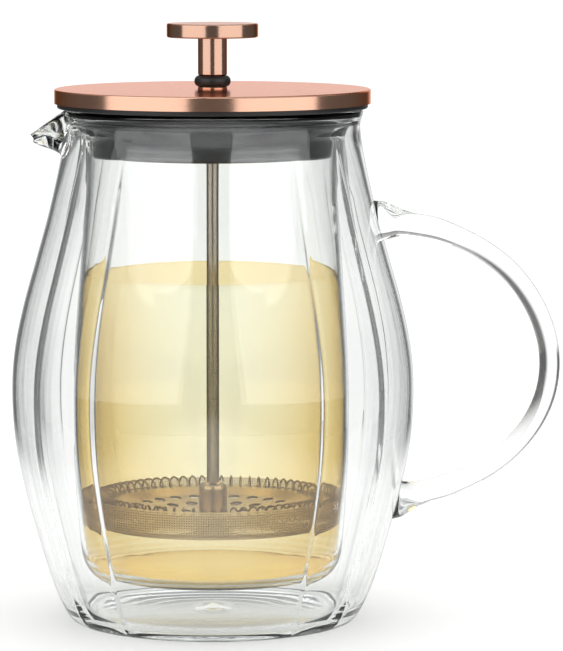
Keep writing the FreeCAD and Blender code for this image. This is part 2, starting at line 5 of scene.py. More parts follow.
import bmesh
import bpy
import numpy as np
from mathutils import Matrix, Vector


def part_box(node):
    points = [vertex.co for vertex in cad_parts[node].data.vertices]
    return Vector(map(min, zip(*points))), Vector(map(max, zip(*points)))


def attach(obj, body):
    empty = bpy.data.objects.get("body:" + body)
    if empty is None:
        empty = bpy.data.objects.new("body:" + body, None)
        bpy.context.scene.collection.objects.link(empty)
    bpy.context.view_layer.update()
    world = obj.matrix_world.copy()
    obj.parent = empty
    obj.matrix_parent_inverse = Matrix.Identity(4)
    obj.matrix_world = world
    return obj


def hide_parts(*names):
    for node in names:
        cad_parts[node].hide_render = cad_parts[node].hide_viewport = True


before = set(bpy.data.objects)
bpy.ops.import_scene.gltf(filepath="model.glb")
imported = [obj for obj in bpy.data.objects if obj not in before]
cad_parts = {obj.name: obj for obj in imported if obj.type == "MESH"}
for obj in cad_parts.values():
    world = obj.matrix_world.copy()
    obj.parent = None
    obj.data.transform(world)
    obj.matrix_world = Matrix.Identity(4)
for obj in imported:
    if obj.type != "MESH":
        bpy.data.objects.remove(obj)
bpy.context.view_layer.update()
MM = 0.001

# ---- sizes taken from the frame ------------------------------------------------------------


def low(node):
    """The low corner of a CAD node's box."""
    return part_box(node)[0]


def high(node):
    """The high corner of a CAD node's box."""
    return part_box(node)[1]


BELLY = high("outer_glass_wall")[0]
RIM_TOP = high("inner_glass_vessel")[2]
RIM_RADIUS = high("inner_glass_vessel")[0]
VESSEL_BASE = low("inner_glass_vessel")[2]
HANDLE_REACH = high("glass_handle")[0]
MESH_RADIUS = high("mesh_screen")[0]

WALL = 2.3 * MM  # the outer wall's thickness at the belly
FOOT_FLAT = 41.5 * MM  # radius of the ring that the jug stands on
FOOT_HOLLOW = 0.9 * MM  # height of the hollow under the base
VESSEL_IN = MESH_RADIUS + 0.35 * MM
VESSEL_OUT = VESSEL_IN + 2.2 * MM
VESSEL_FLOOR = VESSEL_BASE + 2.4 * MM

# ---- small helpers -------------------------------------------------------------------------


def smooth_curve(knots, samples):
    """Points on a smooth curve through the knots, at evenly spaced shares of its length."""
    knots = np.array(knots, dtype=float)
    steps = np.linalg.norm(np.diff(knots, axis=0), axis=1) ** 0.5
    times = np.concatenate(([0.0], np.cumsum(steps)))
    first = 2 * knots[0] - knots[1]
    last = 2 * knots[-1] - knots[-2]
    ext = np.vstack((first, knots, last))
    ts = np.concatenate(([-steps[0]], times, [times[-1] + steps[-1]]))
    dense = []
    for i in range(1, len(ext) - 2):
        t0, t1, t2, t3 = ts[i - 1 : i + 3]
        for t in np.linspace(t1, t2, 24, endpoint=i == len(ext) - 3):
            a1 = (t1 - t) / (t1 - t0) * ext[i - 1] + (t - t0) / (t1 - t0) * ext[i]
            a2 = (t2 - t) / (t2 - t1) * ext[i] + (t - t1) / (t2 - t1) * ext[i + 1]
            a3 = (t3 - t) / (t3 - t2) * ext[i + 1] + (t - t2) / (t3 - t2) * ext[i + 2]
            b1 = (t2 - t) / (t2 - t0) * a1 + (t - t0) / (t2 - t0) * a2
            b2 = (t3 - t) / (t3 - t1) * a2 + (t - t1) / (t3 - t1) * a3
            dense.append((t2 - t) / (t2 - t1) * b1 + (t - t1) / (t2 - t1) * b2)
    dense = np.array(dense)
    far = np.concatenate(([0.0], np.cumsum(np.linalg.norm(np.diff(dense, axis=0), axis=1))))
    wanted = np.linspace(0, far[-1], samples)
    columns = [np.interp(wanted, far, dense[:, k]) for k in range(dense.shape[1])]
    return np.stack(columns, axis=1)


def mesh_object(name, verts, faces, smooth=True):
    """A new object in the scene, made from points and faces."""
    mesh = bpy.data.meshes.new(name)
    mesh.from_pydata([tuple(v) for v in verts], [], [tuple(f) for f in faces])
    mesh.validate()
    for poly in mesh.polygons:
        poly.use_smooth = smooth
    thing = bpy.data.objects.new(name, mesh)
    bpy.context.scene.collection.objects.link(thing)
    return thing


def grid_faces(rows, columns, start=0, flip=False):
    """Quads between rows of a ring, each row with the same number of points."""
    faces = []
    for i in range(rows - 1):
        for j in range(columns):
            k = (j + 1) % columns
            quad = [start + i * columns + j, start + i * columns + k]
            quad += [start + (i + 1) * columns + k, start + (i + 1) * columns + j]
            faces.append(quad[::-1] if flip else quad)
    return faces


def fan(centre, ring, flip=False):
    """Triangles from one point to each side of a ring."""
    count = len(ring)
    faces = []
    for j in range(count):
        tri = [centre, ring[j], ring[(j + 1) % count]]
        faces.append(tri[::-1] if flip else tri)
    return faces


# ---- the jug's shape -----------------------------------------------------------------------

CREASE_HALF = math.radians(11.5)  # half the width of a narrow corner panel
CREASE_RISE = 0.020  # how far its edges stand out, as a share of the radius
CREASE_BLUR = math.radians(0.55)  # how softly the edges turn
RIDGE = 0.0029  # height of the fine line along each edge, as a share of the radius
RIDGE_WIDTH = math.radians(0.52)
JUG_TURN = math.radians(0.95)  # turn of the panels, as measured on the photograph
CREASE_FADE = 22 * MM  # height over which the creases die out below the rim
GAP_CREASE = 0.25  # share of the creases that the air gap's wall follows
RIM_START = 150 * MM  # above this, the wall turns over the rim and down the inside
RIM_CREST = 46.0 * MM  # nearer the middle than this, it has passed the rim's crest
RIM_INSIDE = 44.0 * MM  # nearer the middle than this, it is the rim's inside
COLUMNS = 720
SPOUT_HALF = math.radians(15.0)
SPOUT_START = 15.5 * MM  # how far below the rim the spout begins
SPOUT_PUSH = 10.0 * MM
SPOUT_DROP = 8.0 * MM
SPOUT_PINCH = 0.2
HANDLE_THIN = 3.25 * MM  # the handle's least radius
ROOT_FLARE = 3.0 * MM  # what its roots add to that
ROOT_LENGTH = 6.2 * MM
HANDLE_SWELL = 0.5 * MM  # what the bars beside the roots add
SHARP_ANGLE = math.radians(32)  # edges steeper than this are left sharp


def facet_shares(columns):
    """How far the wall stands out at each angle, as a share of a broad panel's middle radius."""
    fine = 2880
    angle = np.linspace(0, 2 * math.pi, fine, endpoint=False)
    from_corner = (angle + JUG_TURN) % (math.pi / 2) - math.pi / 4
    in_corner = np.abs(from_corner) < CREASE_HALF
    corner = (1 + CREASE_RISE) * math.cos(CREASE_HALF) / np.cos(from_corner)
    share = (math.pi / 4 - np.abs(from_corner)) / (math.pi / 4 - CREASE_HALF)
    broad = 1 + CREASE_RISE * share**2
    radius = np.where(in_corner, corner, broad)
    width = int(round(CREASE_BLUR / (2 * math.pi) * fine))
    offsets = np.arange(-4 * width, 4 * width + 1)
    weights = np.exp(-0.5 * (offsets / width) ** 2)
    weights /= weights.sum()
    blurred = sum(w * np.roll(radius, o) for o, w in zip(offsets, weights))
    from_edge = (np.abs(from_corner) - CREASE_HALF) / RIDGE_WIDTH
    blurred += RIDGE * np.exp(-0.5 * from_edge**2)
    at = (np.arange(columns) / columns * fine).astype(int)
    return blurred[at] - 1.0


def outer_profile():
    """Knots up the jug's outside from its foot, over the rim and down into the vessel."""
    return [
        (FOOT_FLAT, 0.0),
        (FOOT_FLAT + 3.2 * MM, 0.35 * MM),
        (46.9 * MM, 3.0 * MM),
        (49.6 * MM, 8.5 * MM),
        (51.9 * MM, 14.5 * MM),
        (56.4 * MM, 29.4 * MM),
        (60.4 * MM, 44.9 * MM),
        (62.9 * MM, 58.5 * MM),
        (BELLY, 74.4 * MM),
        (62.9 * MM, 86.5 * MM),
        (60.2 * MM, 100.0 * MM),
        (55.9 * MM, 115.5 * MM),
        (51.9 * MM, 130.0 * MM),
        (48.8 * MM, 143.5 * MM),
        (46.9 * MM, 154.0 * MM),
        (46.7 * MM, 158.5 * MM),
        (RIM_RADIUS - 0.35 * MM, RIM_TOP - 1.9 * MM),
        (RIM_RADIUS - 0.2 * MM, RIM_TOP - 0.9 * MM),
        (RIM_RADIUS - 1.4 * MM, RIM_TOP - 0.05 * MM),
        (RIM_RADIUS - 3.0 * MM, RIM_TOP - 0.3 * MM),
        (43.0 * MM, RIM_TOP - 1.4 * MM),
        (42.2 * MM, RIM_TOP - 3.0 * MM),
        (41.0 * MM, RIM_TOP - 6.0 * MM),
        (VESSEL_IN + 0.2 * MM, RIM_TOP - 9.5 * MM),
        (VESSEL_IN, RIM_TOP - 13.0 * MM),
    ]


def rounded_corner(radius, floor, corner, turns):
    """Points on the quarter circle between an upright wall and a floor."""
    points = []
    for turn in turns:
        a = math.radians(turn)
        across = radius - corner + corner * math.cos(a)
        points.append((across, floor + corner - corner * math.sin(a)))
    return points


def ring_rows(profile, facets, strength):
    """One row of points for each (radius, height), creased by its strength."""
    angles = np.linspace(0, 2 * math.pi, len(facets), endpoint=False)
    rows = []
    for (r, z), s in zip(profile, strength):
        radius = r * (1 + facets * s)
        x, y = radius * np.cos(angles), radius * np.sin(angles)
        rows.append(np.stack((x, y, np.full_like(angles, z)), axis=1))
    return np.vstack(rows)


def smooth_step(value, low_value, high_value):
    """0 up to the low value, 1 from the high value on, and smooth between them."""
    share = np.clip((value - low_value) / (high_value - low_value), 0, 1)
    return share * share * (3 - 2 * share)


def pull_spout(points, outside):
    """Pulls the rim out and down into a beak on the side opposite the handle."""
    angle = np.arctan2(points[:, 1], -points[:, 0])
    radius = np.hypot(points[:, 0], points[:, 1])
    across = 1 - smooth_step(np.abs(angle), 0.0, SPOUT_HALF)
    start = RIM_TOP - SPOUT_START
    up = np.clip((points[:, 2] - start) / (RIM_TOP - start), 0, 1)
    full = np.where(outside, smooth_step(up, 0.0, 0.55), up**1.4)
    near = np.clip((radius - 0.9 * VESSEL_IN) / (0.1 * VESSEL_IN), 0, 1)
    push = across * full * near
    points = points.copy()
    points[:, 0] -= push * SPOUT_PUSH
    points[:, 1] *= 1 - SPOUT_PINCH * push
    points[:, 2] -= across * up**1.3 * near * SPOUT_DROP
    return points


def crease_strength(z, start, full, end):
    """How strong the creases are at a height: none at the foot and the rim, full between."""
    rise = np.clip((z - start) / (full - start), 0, 1)
    fall = np.clip((end - z) / CREASE_FADE, 0, 1)
    return rise * fall


def glass_jug():
    """The fused glass: the outer skin with the handle on it, and the closed air gap inside."""
    facets = facet_shares(COLUMNS)
    outer = smooth_curve(outer_profile(), 340)
    creased = []
    outside = True
    for r, z in outer:
        if z > RIM_START and r < RIM_CREST:
            outside = False
        creased.append(crease_strength(z, 0.2 * MM, 2.4 * MM, 158 * MM) if outside else 0.0)
    corner = 7.0 * MM
    down = []
    for z in np.linspace(outer[-1][1], VESSEL_FLOOR + corner, 60)[1:]:
        down.append((VESSEL_IN, z))
    down += rounded_corner(VESSEL_IN, VESSEL_FLOOR, corner, (22.5, 45.0, 67.5, 90.0))
    down += [(r * MM, VESSEL_FLOOR) for r in (26, 18, 9, 2.5)]
    under = []
    for r in (1.5, 3, 6, 10, 15, 20, 25, 30, 34):
        under.append((r * MM, (1.0 - (r / 36.0) ** 2) * FOOT_HOLLOW))
    under += [(36.6 * MM, 0.02 * MM), (39.0 * MM, 0.0)]
    profile = under + [tuple(p) for p in outer] + down
    strength = [0.0] * len(under) + creased + [0.0] * len(down)
    verts = ring_rows(profile, facets, strength)
    outer_rows = []
    for (r, z), s in zip(profile, strength):
        outer_rows.append(s > 0 or z < RIM_START or r > RIM_INSIDE)
    verts = pull_spout(verts, np.repeat(outer_rows, COLUMNS))
    count = len(profile)
    faces = grid_faces(count, COLUMNS)
    bottom, top = len(verts), len(verts) + 1
    verts = np.vstack((verts, [[0, 0, FOOT_HOLLOW], [0, 0, VESSEL_FLOOR]]))
    faces += fan(bottom, range(COLUMNS), flip=True)
    faces += fan(top, range((count - 1) * COLUMNS, count * COLUMNS))
    skin = mesh_object("glass_skin", verts, faces)

    gap = air_gap(facets)
    weld_handle(skin)
    join([skin, gap])
    skin.name = "glass_jug"
    skin.data.name = "glass_jug"
    return skin


def air_gap(facets):
    """The closed air space between the two walls, facing into the air."""
    wall_knots = [
        (36.0 * MM, 3.0 * MM),
        (41.5 * MM, 3.2 * MM),
        (45.0 * MM, 5.4 * MM),
        (49.4 * MM, 14.5 * MM),
        (54.0 * MM, 29.4 * MM),
        (58.0 * MM, 44.9 * MM),
        (60.5 * MM, 58.5 * MM),
        (BELLY - WALL, 74.4 * MM),
        (60.5 * MM, 86.5 * MM),
        (57.8 * MM, 100.0 * MM),
        (53.5 * MM, 115.5 * MM),
        (49.5 * MM, 130.0 * MM),
        (46.4 * MM, 143.5 * MM),
        (44.9 * MM, 151.0 * MM),
        (44.6 * MM, 157.0 * MM),
        (44.5 * MM, 159.6 * MM),
        (44.0 * MM, 160.2 * MM),
        (43.5 * MM, 159.4 * MM),
        (42.6 * MM, 156.5 * MM),
        (VESSEL_OUT, 151.5 * MM),
        (VESSEL_OUT, 140.0 * MM),
    ]
    curve = smooth_curve(wall_knots, 220)
    beside_bead = [(r * MM, 3.0 * MM) for r in (3.4, 8, 16, 25, 32)]
    profile = beside_bead + [tuple(p) for p in curve]
    corner = 9.0 * MM
    for z in np.linspace(140 * MM, VESSEL_BASE + corner, 50)[1:]:
        profile.append((VESSEL_OUT, z))
    profile += rounded_corner(VESSEL_OUT, VESSEL_BASE, corner, (15, 30, 45, 60, 75, 90))
    profile += [(r * MM, VESSEL_BASE) for r in (26, 18, 9, 3)]
    strength = [0.0] * len(beside_bead)
    for index, (r, z) in enumerate(curve):
        outward = index < 0.86 * len(curve)
        fading = GAP_CREASE * crease_strength(z, 4 * MM, 12 * MM, 150 * MM)
        strength.append(fading if outward else 0.0)
    strength += [0.0] * (len(profile) - len(strength))
    verts = ring_rows(profile, facets, strength)
    count = len(profile)
    faces = grid_faces(count, COLUMNS, flip=True)
    bead_top = 4.0 * MM
    bottom, top = len(verts), len(verts) + 1
    verts = np.vstack((verts, [[0, 0, bead_top], [0, 0, VESSEL_BASE]]))
    faces += fan(bottom, range(COLUMNS))
    faces += fan(top, range((count - 1) * COLUMNS, count * COLUMNS), flip=True)
    return mesh_object("glass_air_gap", verts, faces)


def handle_line():
    """The handle's centreline: half a circle whose ends run back into the jug's wall."""
    top, low_end = 127.0 * MM, 38.8 * MM
    reach = HANDLE_REACH - 3.3 * MM
    knots = [
        (45.5 * MM, top + 0.6 * MM),
        (51.0 * MM, top + 0.4 * MM),
        (56.1 * MM, top),
        (63.5 * MM, top - 1.0 * MM),
        (72.0 * MM, 124.3 * MM),
        (84.7 * MM, 118.6 * MM),
        (94.8 * MM, 110.6 * MM),
        (102.3 * MM, 100.0 * MM),
        (106.2 * MM, 89.2 * MM),
        (reach, 80.5 * MM),
        (105.6 * MM, 71.8 * MM),
        (102.0 * MM, 63.6 * MM),
        (95.8 * MM, 55.6 * MM),
        (86.7 * MM, 48.3 * MM),
        (75.5 * MM, 43.1 * MM),
        (65.5 * MM, 40.2 * MM),
        (59.0 * MM, low_end - 0.3 * MM),
        (53.0 * MM, low_end - 1.2 * MM),
        (46.5 * MM, low_end - 1.6 * MM),
    ]
    return smooth_curve(knots, 260)


def weld_handle(skin):
    """Melts the solid handle onto the wall: a swept rod with flared roots, fused to the skin."""
    line = handle_line()
    sides = 48
    verts = []
    length = len(line)
    steps = np.linalg.norm(np.diff(line, axis=0), axis=1)
    far = np.concatenate(([0.0], np.cumsum(steps)))
    buried = (7.4 * MM, 10.5 * MM)
    side = Vector((0, 1, 0))
    for i, (x, z) in enumerate(line):
        before, after = line[max(0, i - 1)], line[min(length - 1, i + 1)]
        tangent = Vector((after[0] - before[0], 0, after[1] - before[1])).normalized()
        up = tangent.cross(side)
        from_end = max(0.0, min(far[i] - buried[0], far[-1] - buried[1] - far[i]))
        flare = ROOT_FLARE * math.exp(-((from_end / ROOT_LENGTH) ** 2))
        swell = HANDLE_SWELL * math.exp(-(((from_end - 15 * MM) / (8 * MM)) ** 2))
        radius = HANDLE_THIN + flare + swell
        for j in range(sides):
            a = 2 * math.pi * j / sides
            point = Vector((x, 0, z)) + side * radius * math.cos(a)
            verts.append(point + up * radius * math.sin(a))
    faces = grid_faces(length, sides, flip=True)
    start, end = len(verts), len(verts) + 1
    verts.append(Vector((line[0][0], 0, line[0][1])))
    verts.append(Vector((line[-1][0], 0, line[-1][1])))
    faces += fan(start, range(sides))
    faces += fan(end, range((length - 1) * sides, length * sides), flip=True)
    rod = mesh_object("handle_rod", verts, faces)
    for thing in (skin, rod):
        fix_normals(thing)
    weld = skin.modifiers.new("weld", "BOOLEAN")
    weld.operation = "UNION"
    weld.object = rod
    weld.solver = "EXACT"
    apply_modifiers(skin)
    skin.data.set_sharp_from_angle(angle=SHARP_ANGLE)
    bpy.data.objects.remove(rod)


def fix_normals(thing):
    """Turns all faces outwards."""
    bm = bmesh.new()
    bm.from_mesh(thing.data)
    bmesh.ops.recalc_face_normals(bm, faces=bm.faces)
    bm.to_mesh(thing.data)
    bm.free()


def apply_modifiers(thing):
    """Makes the modifiers' result the object's own mesh."""
    graph = bpy.context.evaluated_depsgraph_get()
    mesh = bpy.data.meshes.new_from_object(thing.evaluated_get(graph))
    thing.modifiers.clear()
    thing.data = mesh
    for poly in mesh.polygons:
        poly.use_smooth = True


def join(things):
    """Puts the meshes of all the things into the first one, as they face now."""
    bm = bmesh.new()
    for thing in things:
        bm.from_mesh(thing.data)
    bm.to_mesh(things[0].data)
    bm.free()
    for thing in things[1:]:
        bpy.data.objects.remove(thing)


# ---- materials -----------------------------------------------------------------------------

ROSE_EDGE = (0.85, 0.42, 0.27)
# painted shade: a darker copy of the rose gold's edge colour, for the knob
KNOB_SHADED_EDGE = (0.7, 0.32, 0.18)
GLASS_CLEAR = (0.992, 0.996, 0.994, 1)
# painted shade: the grey that the glass turns at a slant, for its dark edge lines
GLASS_SLANT_SHADE = (0.55, 0.56, 0.57, 1)
TEA_PALE = (1.0, 0.985, 0.86, 1)
# the deep amber: reached at a slant as painted shade, and lower down
TEA_DEEP = (0.925, 0.80, 0.50, 1)
COLOR_MIX_INPUTS = (6, 7)  # where a Mix node takes its two colours


class Shader:
    """A node material, with short ways to add and join its nodes."""

    def __init__(self, name):
        self.material = bpy.data.materials.new(name)
        self.material.use_nodes = True
        self.tree = self.material.node_tree
        self.tree.nodes.clear()
        self.out = self.add("ShaderNodeOutputMaterial")

    def add(self, kind, **values):
        node = self.tree.nodes.new(kind)
        for key, value in values.items():
            if hasattr(node, key):
                setattr(node, key, value)
            else:
                node.inputs[key.replace("_", " ")].default_value = value
        return node

    def link(self, source, target, output=0, socket=0):
        self.tree.links.new(source.outputs[output], target.inputs[socket])

    def noise(self, scale, detail=3.0, stretch=(1, 1, 1)):
        where = self.add("ShaderNodeTexCoord")
        place = self.add("ShaderNodeMapping")
        place.inputs["Scale"].default_value = stretch
        noise = self.add("ShaderNodeTexNoise", Scale=scale, Detail=detail)
        self.link(where, place, "Object", "Vector")
        self.link(place, noise, "Vector", "Vector")
        return noise

    def ranged(self, source, low_value, high_value, output="Fac"):
        node = self.add("ShaderNodeMapRange")
        node.inputs["To Min"].default_value = low_value
        node.inputs["To Max"].default_value = high_value
        self.link(source, node, output, "Value")
        return node

    def bump(self, source, strength, distance, target, output="Fac"):
        node = self.add("ShaderNodeBump", Strength=strength, Distance=distance)
        self.link(source, node, output, "Height")
        self.link(node, target, "Normal", "Normal")
        return node


def principled(
    name,
    color,
    metallic,
    rough,
    spread,
    scale,
    bump,
    stretch=(1, 1, 1),
    distance=0.0002,
    edge=None,
):
    """A surface whose roughness and height vary a little, as brushed or moulded ones do."""
    shader = Shader(name)
    body = shader.add("ShaderNodeBsdfPrincipled")
    body.inputs["Base Color"].default_value = (*color, 1)
    if edge:
        body.inputs["Specular Tint"].default_value = (*edge, 1)
    body.inputs["Metallic"].default_value = metallic
    noise = shader.noise(scale, 4.0, stretch)
    shader.link(shader.ranged(noise, rough - spread, rough + spread), body, 0, "Roughness")
    shader.bump(noise, bump, distance, body)
    shader.link(body, shader.out, 0, "Surface")
    return shader.material


def let_lamps_through(shader, glass, shadow):
    """Finishes a glass so that it tints the lamps' light and throws no dark shadow."""
    clear = shader.add("ShaderNodeBsdfTransparent")
    clear.inputs["Color"].default_value = shadow
    path = shader.add("ShaderNodeLightPath")
    mix = shader.add("ShaderNodeMixShader")
    shader.link(path, mix, "Is Shadow Ray", "Fac")
    shader.link(glass, mix, 0, 1)
    shader.link(clear, mix, 0, 2)
    shader.link(mix, shader.out, 0, "Surface")


def tinted(shader, glass, amount, first, second):
    """Colours a glass between two colours by an amount."""
    tint = shader.add("ShaderNodeMix", data_type="RGBA")
    for number, color in zip(COLOR_MIX_INPUTS, (first, second)):
        tint.inputs[number].default_value = color
    shader.link(amount, tint, 0, 0)
    shader.link(tint, glass, 2, "Color")


def glass_material():
    """Clear glass with faint draw lines, and painted shade: greyer where it is seen at a slant,
    which draws its dark edge lines.
    """
    shader = Shader("jug_glass")
    glass = shader.add("ShaderNodeBsdfGlass", IOR=1.47)
    glass.inputs["Roughness"].default_value = 0.0
    # painted shade: the glass is greyed where it is seen at a slant
    slant = shader.add("ShaderNodeLayerWeight", Blend=0.5)
    edge = shader.add("ShaderNodeMapRange", interpolation_type="SMOOTHSTEP")
    shader.link(slant, edge, "Facing", "Value")
    edge.inputs["From Min"].default_value = 0.82
    tinted(shader, glass, edge, GLASS_CLEAR, GLASS_SLANT_SHADE)
    wave = shader.noise(14.0, 2.0, (1, 1, 0.25))
    shader.bump(wave, 0.06, 0.0009, glass)
    let_lamps_through(shader, glass, (0.96, 0.97, 0.97, 1))
    return shader.material


def tea_material():
    """Clear amber, palest where it is seen square on; deeper at a slant, which is painted shade on
    the tea's own amber, and deeper lower down.
    """
    shader = Shader("tea")
    glass = shader.add("ShaderNodeBsdfGlass", IOR=1.05)
    glass.inputs["Roughness"].default_value = 0.0
    ripple = shader.noise(60.0, 2.0)
    shader.bump(ripple, 0.03, 0.0004, glass)
    # painted shade: the tea turns deeper amber where it is seen at a slant
    slant = shader.add("ShaderNodeLayerWeight", Blend=0.5)
    edge = shader.add("ShaderNodeMapRange")
    shader.link(slant, edge, "Facing", "Value")
    edge.inputs["From Max"].default_value = 0.62
    where = shader.add("ShaderNodeTexCoord")
    parts = shader.add("ShaderNodeSeparateXYZ")
    shader.link(where, parts, "Object", 0)
    depth = shader.add("ShaderNodeMapRange")
    shader.link(parts, depth, "Z", "Value")
    values = (("From Min", 0.020), ("From Max", 0.105), ("To Min", 0.42), ("To Max", 0.0))
    for name, value in values:
        depth.inputs[name].default_value = value
    deep = shader.add("ShaderNodeMath", operation="ADD", use_clamp=True)
    shader.link(edge, deep, 0, 0)
    shader.link(depth, deep, 0, 1)
    tinted(shader, glass, deep, TEA_PALE, TEA_DEEP)
    let_lamps_through(shader, glass, (0.93, 0.88, 0.66, 1))
    return shader.material


def paint(node, material):
    """Gives a CAD node its material on its own slots."""
    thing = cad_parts[node]
    if not thing.material_slots:
        thing.data.materials.append(material)
    for place in thing.material_slots:
        place.material = material


def metal(name, color, rough, spread, scale, bump, stretch=(1, 1, 1), edge=None):
    """A bare or plated metal."""
    return principled(name, color, 1.0, rough, spread, scale, bump, stretch, edge=edge)


def paint_all():
    """Gives every CAD node that is still shown its material."""
    rose = metal("rose_gold", (0.78, 0.46, 0.33), 0.17, 0.03, 420.0, 0.03, (1, 1, 6), ROSE_EDGE)
    plug = metal("plug_steel", (0.11, 0.11, 0.115), 0.20, 0.03, 300.0, 0.05, (0.3, 0.3, 9))
    black = principled("black_silicone", (0.012, 0.012, 0.012), 0.0, 0.42, 0.08, 900.0, 0.2)
    band = principled("grey_silicone", (0.085, 0.085, 0.09), 0.85, 0.36, 0.06, 700.0, 0.05)
    steel = metal("steel", (0.53, 0.42, 0.30), 0.24, 0.05, 350.0, 0.02, (1, 1, 8))
    spring = metal("spring_steel", (0.46, 0.36, 0.23), 0.25, 0.05, 900.0, 0.04)
    # painted shade: a darker copy of the rose gold, for the knob's darker look
    knob = metal("shaded_rose_knob", (0.62, 0.38, 0.28), 0.15, 0.03, 420.0, 0.03, (1, 1, 6), KNOB_SHADED_EDGE)
    rod = metal("rod_steel", (0.45, 0.39, 0.32), 0.22, 0.05, 350.0, 0.02, (1, 1, 8))
    for material, nodes in (
        (rose, ("lid_cover", "lid_bushing")),
        (knob, ("knob_cap", "knob_stem")),
        (rod, ("plunger_rod",)),
        (steel, ("hub_nut", "spiral_plate", "cross_plate", "filter_nut")),
        (steel, ("bushing_washer", "bushing_nut")),
        (plug, ("lid_plug",)),
        (band, ("plug_seal_band",)),
        (black, ("lid_seal_ring", "rod_grommet")),
        (spring, ("coil_spring",)),
        (mesh_material(), ("mesh_screen",)),
    ):
        for node in nodes:
            paint(node, material)


def mesh_material():
    """Fine woven wire: bright wires, and open squares that let the light through."""
    shader = Shader("mesh")
    body = shader.add("ShaderNodeBsdfPrincipled")
    body.inputs["Base Color"].default_value = (0.78, 0.62, 0.40, 1)
    body.inputs["Metallic"].default_value = 1.0
    noise = shader.noise(500.0, 3.0)
    shader.link(shader.ranged(noise, 0.34, 0.50), body, 0, "Roughness")
    where = shader.add("ShaderNodeTexCoord")
    waves = []
    for direction in ("X", "Z"):
        wave = shader.add("ShaderNodeTexWave", bands_direction=direction, Scale=420.0)
        shader.link(where, wave, "Object", "Vector")
        waves.append(wave)
    both = shader.add("ShaderNodeMath", operation="MAXIMUM")
    for number, wave in enumerate(waves):
        shader.link(wave, both, "Fac", number)
    shader.bump(both, 0.4, 0.0002, body, 0)
    holes = shader.add("ShaderNodeBsdfTransparent")
    cover = shader.ranged(both, 0.0, 0.52, "Value")
    mix = shader.add("ShaderNodeMixShader")
    shader.link(cover, mix, 0, "Fac")
    shader.link(holes, mix, 0, 1)
    shader.link(body, mix, 0, 2)
    shader.link(mix, shader.out, 0, "Surface")
    return shader.material


# ---- the drink, shown only as a prop -------------------------------------------------------

TEA_LEVEL = 110.7 * MM
TEA_GAP = 0.03 * MM  # between the drink and the glass


def tea():
    """The drink, as a prop. It stops just short of the glass all round."""
    columns = 256
    floor = VESSEL_FLOOR + TEA_GAP
    radius = VESSEL_IN - TEA_GAP
    corner = 7.0 * MM
    profile = [(r * MM, floor) for r in (6, 14, 22)]
    profile += rounded_corner(radius, floor, corner, (90, 72, 54, 36, 18, 0))
    for z in np.linspace(floor + corner, TEA_LEVEL, 30)[1:]:
        profile.append((radius, z))
    profile += [(r * MM, TEA_LEVEL) for r in (38.5, 30, 20, 10)]
    verts = ring_rows(profile, np.zeros(columns), [0.0] * len(profile))
    faces = grid_faces(len(profile), columns)
    bottom, top = len(verts), len(verts) + 1
    verts = np.vstack((verts, [[0, 0, floor], [0, 0, TEA_LEVEL]]))
    faces += fan(bottom, range(columns), flip=True)
    faces += fan(top, range((len(profile) - 1) * columns, len(profile) * columns))
    thing = mesh_object("tea", verts, faces)
    fix_normals(thing)
    thing.data.materials.append(tea_material())


# ---- the studio ----------------------------------------------------------------------------


HORIZON = 0.16
OVERHEAD = 0.7
EVEN_LIGHT = 0.7
BACKDROP = 1.1
# on the floor, the fade to this value is painted shade
FAR_OUT = 0.12  # what the backdrop and the floor fade to
KEY_POWER = 5.0
TOP_POWER = 3.5
CARD_CENTRE = (0.022, 0.42, 0.15)
FLOOR_CENTRE = (0, 0.12, -0.0002)
CAMERA_PLACE = (21.77 * MM, -1292.67 * MM, 235.99 * MM)
CAMERA_PITCH = math.radians(6.275)
CAMERA_LENS = 226.33


def card(name, width, height):
    """A flat card round its own centre, facing up."""
    w, h = width / 2, height / 2
    corners = [(-w, -h, 0), (w, -h, 0), (w, h, 0), (-w, h, 0)]
    return mesh_object(name, corners, [(0, 1, 2, 3)], False)


def facing(centre, aim, axis):
    """The turn that points an axis from a centre at the point it aims at."""
    return (Vector(aim) - Vector(centre)).to_track_quat(axis, "Y").to_euler()


def panel(name, centre, size, aim, material):
    """A flat card in the studio, facing the point it aims at."""
    thing = card(name, *size)
    thing.location = centre
    thing.rotation_euler = facing(centre, aim, "Z")
    thing.data.materials.append(material)


def softbox(name, centre, size, aim, power):
    """A soft white lamp, pointed at what it aims at."""
    data = bpy.data.lights.new(name, "AREA")
    data.shape = "RECTANGLE"
    data.size, data.size_y = size
    data.energy = power
    thing = bpy.data.objects.new(name, data)
    thing.location = centre
    thing.rotation_euler = facing(centre, aim, "-Z")
    bpy.context.scene.collection.objects.link(thing)
    return thing


def sky():
    """Dim round the horizon, which draws the glass's lines, and brighter overhead for the metal.

    It is white behind the scene, and it lights matt surfaces evenly.
    """
    world = bpy.data.worlds.new("studio")
    world.use_nodes = True
    tree = world.node_tree
    background = tree.nodes["Background"]
    where = tree.nodes.new("ShaderNodeTexCoord")
    parts = tree.nodes.new("ShaderNodeSeparateXYZ")
    height = tree.nodes.new("ShaderNodeMapRange")
    path = tree.nodes.new("ShaderNodeLightPath")
    even = tree.nodes.new("ShaderNodeMath")
    seen = tree.nodes.new("ShaderNodeMath")
    most = tree.nodes.new("ShaderNodeMath")
    values = (("From Min", 0.3), ("From Max", 0.75), ("To Min", HORIZON), ("To Max", OVERHEAD))
    for name, value in values:
        height.inputs[name].default_value = value
    even.operation = "MULTIPLY"
    even.inputs[1].default_value = EVEN_LIGHT
    seen.operation = most.operation = "MAXIMUM"
    for source, output, target, socket in (
        (where, "Generated", parts, 0),
        (parts, "Z", height, "Value"),
        (path, "Is Diffuse Ray", even, 0),
        (even, 0, seen, 0),
        (path, "Is Camera Ray", seen, 1),
        (seen, 0, most, 0),
        (height, 0, most, 1),
        (most, 0, background, "Strength"),
    ):
        tree.links.new(source.outputs[output], target.inputs[socket])
    background.inputs["Color"].default_value = (1, 1, 1, 1)
    return world


